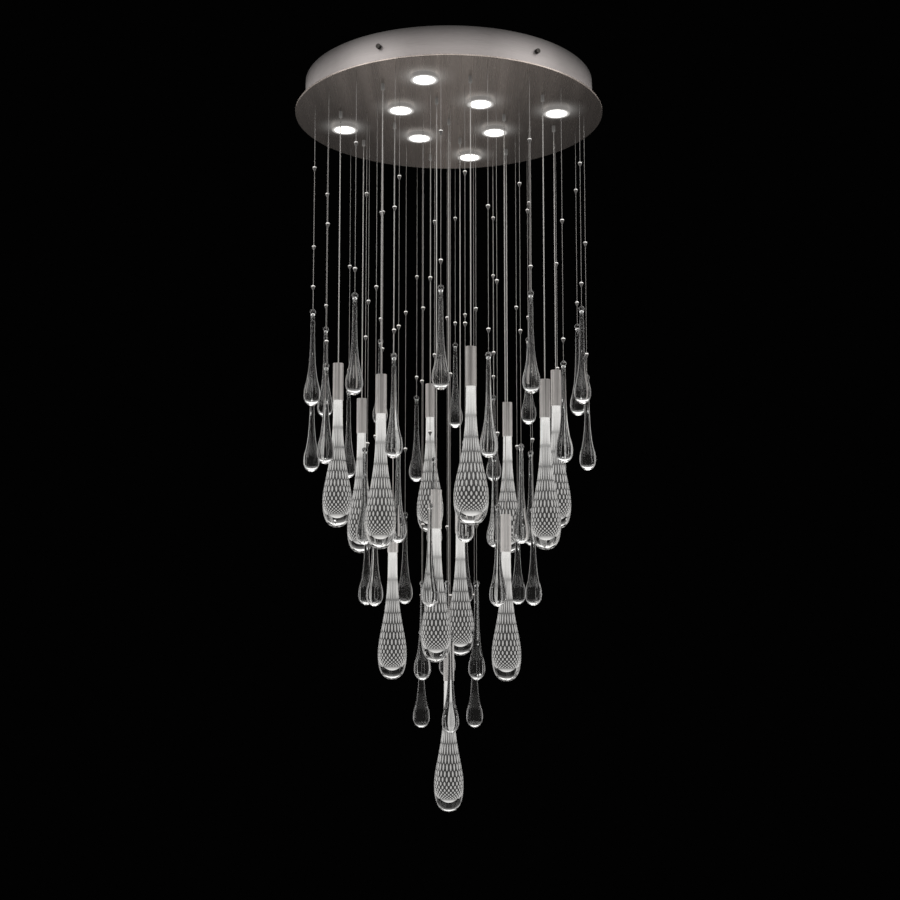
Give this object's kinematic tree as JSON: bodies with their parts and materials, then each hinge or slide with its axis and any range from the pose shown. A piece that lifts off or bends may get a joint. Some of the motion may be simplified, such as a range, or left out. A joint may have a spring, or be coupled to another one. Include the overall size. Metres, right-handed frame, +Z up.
{
  "type": "multi-light pendant",
  "caption": "Round ceiling canopy with hanging teardrop glass: lit bubble-glass drops on cables, clear drops on beaded wires, and puck lights under a brushed plate.",
  "frame": {"origin": "centre of the ceiling frame's top face, on the canopy's axis, in the middle of the ceiling bolt circle", "axes": "+Z up towards the ceiling, everything hangs along -Z; -Y faces the viewer of the picture, +X to the viewer's right"},
  "size_m": [0.8999, 0.9, 2.092],
  "materials": {
    "satin_nickel": "satin brushed nickel, warm grey",
    "cap_nickel": "fine brushed nickel",
    "zinc_steel": "zinc plated, dull",
    "dark_screws": "blackened, satin",
    "puck_metal": "satin nickel paint",
    "board": "white circuit board",
    "lens": "frosted, lit from behind",
    "driver_plastic": "white moulded plastic",
    "terminal_plastic": "ivory moulded plastic",
    "steel_wire": "bright stranded wire",
    "polished_bead": "polished",
    "cable_jacket": "clear jacket over bright conductors",
    "clear_glass": "clear polished solid glass",
    "bubble_glass": "clear glass with an inner core of stretched bubbles, lit from its cap"
  },
  "bodies": {
    "canopy": {"ceiling_frame": "zinc_steel", "canopy_drum": "satin_nickel", "canopy_plate": "satin_nickel", "drum_screws": "dark_screws", "plate_screws": "zinc_steel", "puck_housings": "puck_metal", "puck_boards": "board", "puck_lenses": "lens", "puck_nuts": "zinc_steel", "cable_glands": "satin_nickel", "wire_stops": "zinc_steel", "lamp_drivers": "driver_plastic", "driver_screws": "zinc_steel", "terminal_block": "terminal_plastic", "suspension_wires": "steel_wire", "wire_beads": "polished_bead", "outer_clear_drops": "clear_glass", "middle_clear_drops": "clear_glass", "inner_clear_drops": "clear_glass"},
    "outer_1_pendant": {"outer_1_cable": "cable_jacket", "outer_1_cap": "cap_nickel", "outer_1_glass": "bubble_glass"},
    "outer_2_pendant": {"outer_2_cable": "cable_jacket", "outer_2_cap": "cap_nickel", "outer_2_glass": "bubble_glass"},
    "outer_3_pendant": {"outer_3_cable": "cable_jacket", "outer_3_cap": "cap_nickel", "outer_3_glass": "bubble_glass"},
    "outer_4_pendant": {"outer_4_cable": "cable_jacket", "outer_4_cap": "cap_nickel", "outer_4_glass": "bubble_glass"},
    "outer_5_pendant": {"outer_5_cable": "cable_jacket", "outer_5_cap": "cap_nickel", "outer_5_glass": "bubble_glass"},
    "outer_6_pendant": {"outer_6_cable": "cable_jacket", "outer_6_cap": "cap_nickel", "outer_6_glass": "bubble_glass"},
    "outer_7_pendant": {"outer_7_cable": "cable_jacket", "outer_7_cap": "cap_nickel", "outer_7_glass": "bubble_glass"},
    "outer_8_pendant": {"outer_8_cable": "cable_jacket", "outer_8_cap": "cap_nickel", "outer_8_glass": "bubble_glass"},
    "inner_1_pendant": {"inner_1_cable": "cable_jacket", "inner_1_cap": "cap_nickel", "inner_1_glass": "bubble_glass"},
    "inner_2_pendant": {"inner_2_cable": "cable_jacket", "inner_2_cap": "cap_nickel", "inner_2_glass": "bubble_glass"},
    "inner_3_pendant": {"inner_3_cable": "cable_jacket", "inner_3_cap": "cap_nickel", "inner_3_glass": "bubble_glass"},
    "inner_4_pendant": {"inner_4_cable": "cable_jacket", "inner_4_cap": "cap_nickel", "inner_4_glass": "bubble_glass"},
    "centre_pendant": {"centre_cable": "cable_jacket", "centre_cap": "cap_nickel", "centre_glass": "bubble_glass"}
  },
  "joints": [
    {"name": "outer_1_sway", "type": "hinge", "parent": "canopy", "child": "outer_1_pendant", "pos_m": [0.31427, 0.05825, -0.081], "axis": [0.9833, 0.1822, 0], "range_deg": [-3, 3]},
    {"name": "outer_2_sway", "type": "hinge", "parent": "canopy", "child": "outer_2_pendant", "pos_m": [0.18104, 0.26341, -0.081], "axis": [0.5664, 0.8241, 0], "range_deg": [-3, 3]},
    {"name": "outer_3_sway", "type": "hinge", "parent": "canopy", "child": "outer_3_pendant", "pos_m": [-0.05825, 0.31427, -0.081], "axis": [-0.1822, 0.9833, 0], "range_deg": [-3, 3]},
    {"name": "outer_4_sway", "type": "hinge", "parent": "canopy", "child": "outer_4_pendant", "pos_m": [-0.26341, 0.18104, -0.081], "axis": [-0.8241, 0.5664, 0], "range_deg": [-3, 3]},
    {"name": "outer_5_sway", "type": "hinge", "parent": "canopy", "child": "outer_5_pendant", "pos_m": [-0.31427, -0.05825, -0.081], "axis": [-0.9833, -0.1822, 0], "range_deg": [-3, 3]},
    {"name": "outer_6_sway", "type": "hinge", "parent": "canopy", "child": "outer_6_pendant", "pos_m": [-0.18104, -0.26341, -0.081], "axis": [-0.5664, -0.8241, 0], "range_deg": [-3, 3]},
    {"name": "outer_7_sway", "type": "hinge", "parent": "canopy", "child": "outer_7_pendant", "pos_m": [0.05825, -0.31427, -0.081], "axis": [0.1822, -0.9833, 0], "range_deg": [-3, 3]},
    {"name": "outer_8_sway", "type": "hinge", "parent": "canopy", "child": "outer_8_pendant", "pos_m": [0.26341, -0.18104, -0.081], "axis": [0.8241, -0.5664, 0], "range_deg": [-3, 3]},
    {"name": "inner_1_sway", "type": "hinge", "parent": "canopy", "child": "inner_1_pendant", "pos_m": [0.03428, 0.16127, -0.081], "axis": [0.2079, 0.9781, 0], "range_deg": [-2, 2]},
    {"name": "inner_2_sway", "type": "hinge", "parent": "canopy", "child": "inner_2_pendant", "pos_m": [-0.16127, 0.03428, -0.081], "axis": [-0.9781, 0.2079, 0], "range_deg": [-2, 2]},
    {"name": "inner_3_sway", "type": "hinge", "parent": "canopy", "child": "inner_3_pendant", "pos_m": [-0.03428, -0.16127, -0.081], "axis": [-0.2079, -0.9781, 0], "range_deg": [-2, 2]},
    {"name": "inner_4_sway", "type": "hinge", "parent": "canopy", "child": "inner_4_pendant", "pos_m": [0.16127, -0.03428, -0.081], "axis": [0.9781, -0.2079, 0], "range_deg": [-2, 2]},
    {"name": "centre_sway", "type": "hinge", "parent": "canopy", "child": "centre_pendant", "pos_m": [0, 0, -0.081], "axis": [-0.0698, 0.9976, 0], "range_deg": [-1.5, 1.5]}
  ]
}
